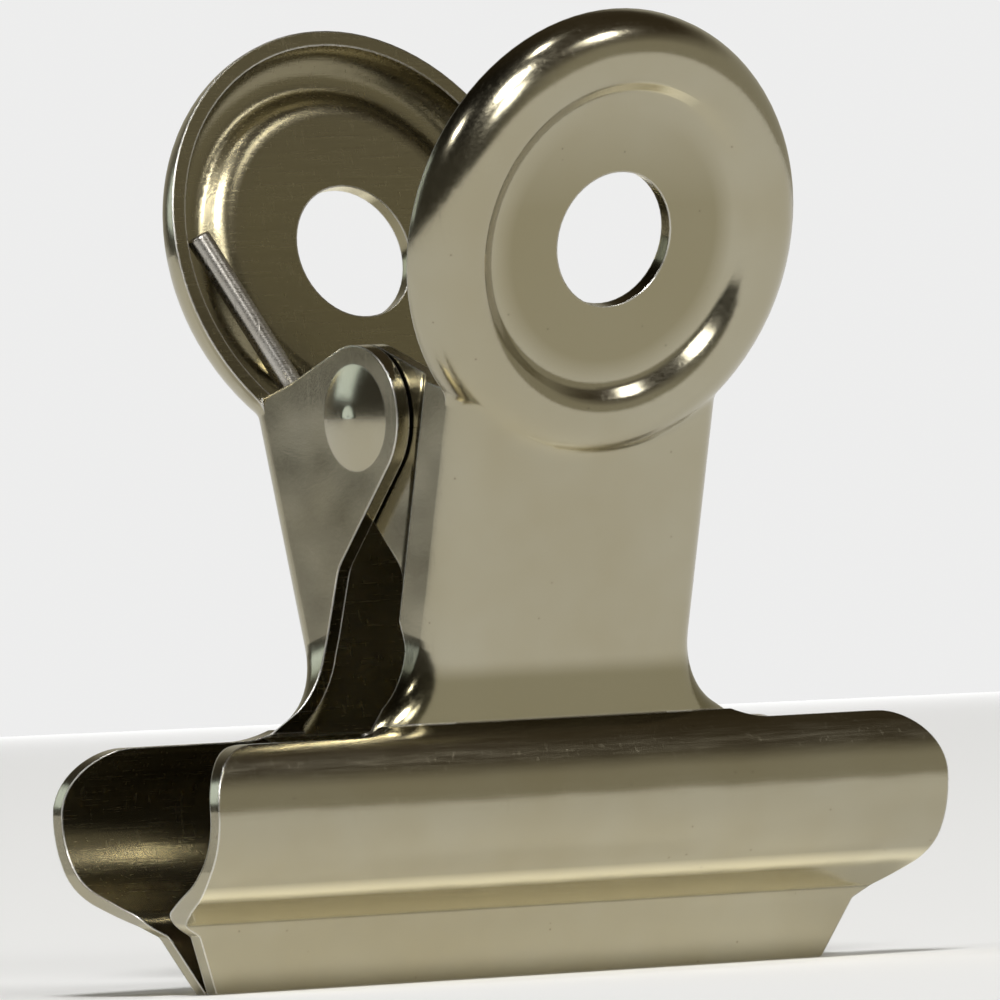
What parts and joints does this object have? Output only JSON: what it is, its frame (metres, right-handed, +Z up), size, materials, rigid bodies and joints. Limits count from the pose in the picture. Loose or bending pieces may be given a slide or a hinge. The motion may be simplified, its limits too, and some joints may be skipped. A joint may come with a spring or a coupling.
{
  "type": "bulldog clip",
  "caption": "Sprung paper clip of two pressed steel levers with round holed finger discs, hinged on a pin, with long half-tube jaws and flat lips.",
  "frame": {"origin": "middle of the closed lips' lower edge, where the clip's mouth meets", "axes": "+X along the jaws, -Y towards the front lever, +Z up from the lips to the finger discs"},
  "size_m": [0.032, 0.0214, 0.0343],
  "materials": {
    "front_lever": "bright nickel plate, warm grey",
    "rear_lever": "bright nickel plate, warm grey",
    "hinge_pin": "plain drawn steel",
    "torsion_spring": "nickel-plated spring wire"
  },
  "bodies": {
    "front": {"front_lever": "front_lever", "torsion_spring": "torsion_spring"},
    "rear": {"rear_lever": "rear_lever", "hinge_pin": "hinge_pin"}
  },
  "joints": [
    {"name": "squeeze", "type": "hinge", "parent": "front", "child": "rear", "pos_m": [0, 0, 0.0202], "axis": [1, 0, 0], "range_deg": [0, 65], "stiffness_Nm_per_rad": 0.06, "springref_deg": -40.11, "deforming": ["torsion_spring"]}
  ]
}
